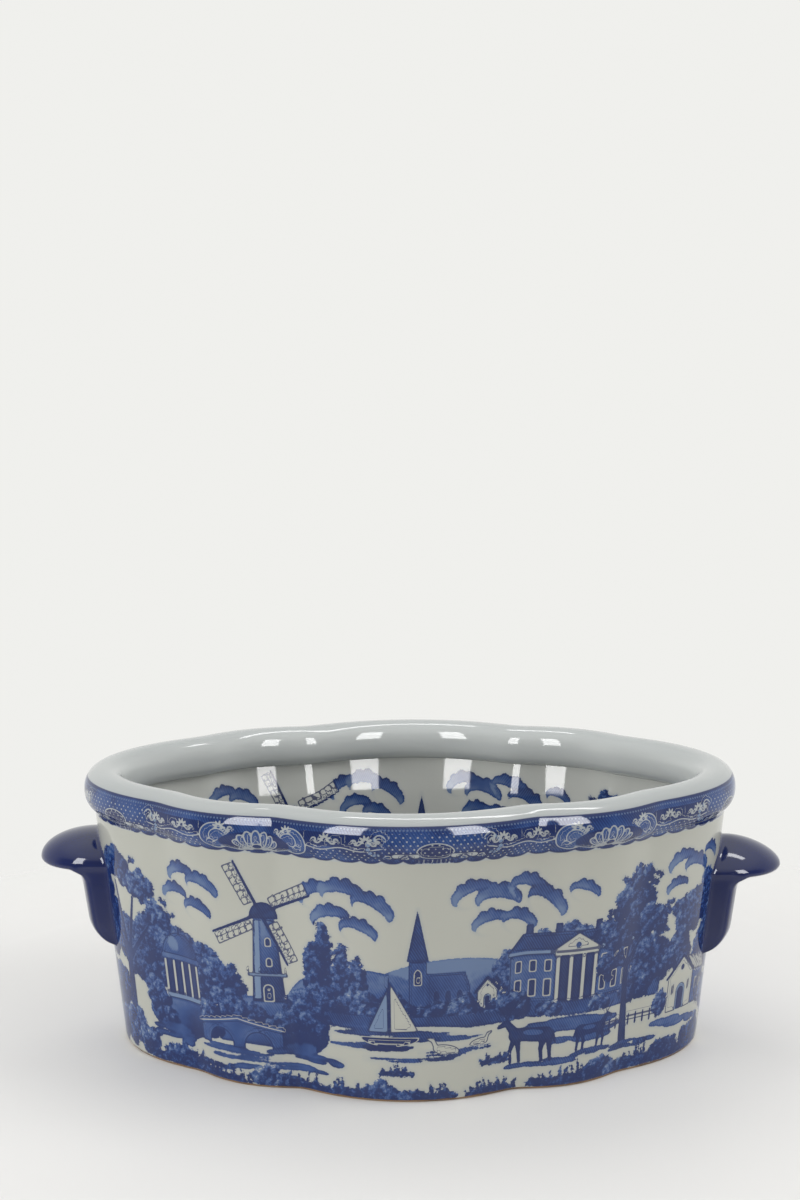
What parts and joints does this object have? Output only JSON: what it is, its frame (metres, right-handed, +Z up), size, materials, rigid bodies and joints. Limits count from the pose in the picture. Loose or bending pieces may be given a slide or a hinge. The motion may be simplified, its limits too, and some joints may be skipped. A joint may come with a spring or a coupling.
{
  "type": "oval jardiniere",
  "caption": "Lobed oval ceramic planter with a flared wall, rolled rim, bare foot ring and a domed lug handle at each end.",
  "frame": {"origin": "on the table, under the middle of the pot", "axes": "+X towards the right handle, -Y towards the printed front, +Z up"},
  "size_m": [0.5546, 0.3628, 0.2068],
  "materials": {
    "bare_clay": "unglazed fired clay, matt, stained brown at the edge",
    "white_glaze": "clear high-gloss glaze over a grey-white body",
    "printed_glaze": null,
    "rim_glaze": "high-gloss glaze, white on top, with a blue printed scroll border on the outer face",
    "cobalt_glaze": "deep cobalt glaze, high gloss, thinner on the edges"
  },
  "bodies": {
    "root": {"foot_ring": "bare_clay", "basin_floor": "white_glaze", "basin_wall": "printed_glaze", "rim_roll": "rim_glaze", "handle_right": "cobalt_glaze", "handle_left": "cobalt_glaze"}
  },
  "joints": []
}
